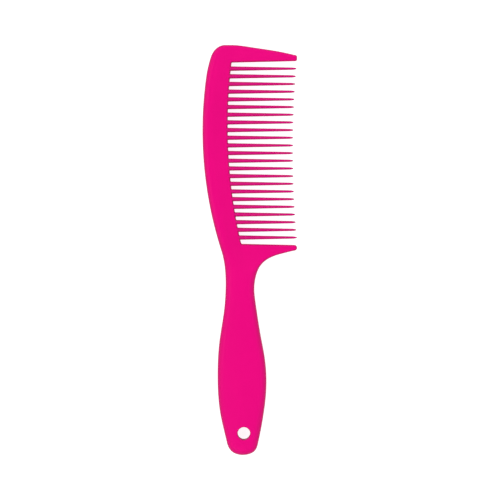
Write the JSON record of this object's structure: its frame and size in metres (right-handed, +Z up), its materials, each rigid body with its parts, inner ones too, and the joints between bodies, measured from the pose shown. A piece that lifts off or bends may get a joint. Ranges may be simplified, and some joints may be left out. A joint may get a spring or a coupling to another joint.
{
  "type": "comb",
  "caption": "Wide tooth comb with a waisted handle, a bowed back, a guard tooth at each end of a row of fine straight teeth, and a round hang hole in the tail.",
  "frame": {"origin": "under the middle of the comb's bounding box, on the surface that it lies on", "axes": "+X the way the teeth point, +Y from the handle end to the head, +Z up through the thickness"},
  "size_m": [0.053, 0.23, 0.009],
  "materials": {
    "pink_plastic": "moulded, soft satin with a very fine grain"
  },
  "bodies": {
    "root": {"handle": "pink_plastic", "spine": "pink_plastic", "top_guard_tooth": "pink_plastic", "bottom_guard_tooth": "pink_plastic", "tooth_01": "pink_plastic", "tooth_02": "pink_plastic", "tooth_03": "pink_plastic", "tooth_04": "pink_plastic", "tooth_05": "pink_plastic", "tooth_06": "pink_plastic", "tooth_07": "pink_plastic", "tooth_08": "pink_plastic", "tooth_09": "pink_plastic", "tooth_10": "pink_plastic", "tooth_11": "pink_plastic", "tooth_12": "pink_plastic", "tooth_13": "pink_plastic", "tooth_14": "pink_plastic", "tooth_15": "pink_plastic", "tooth_16": "pink_plastic", "tooth_17": "pink_plastic", "tooth_18": "pink_plastic", "tooth_19": "pink_plastic", "tooth_20": "pink_plastic", "tooth_21": "pink_plastic", "tooth_22": "pink_plastic", "tooth_23": "pink_plastic"}
  },
  "joints": []
}
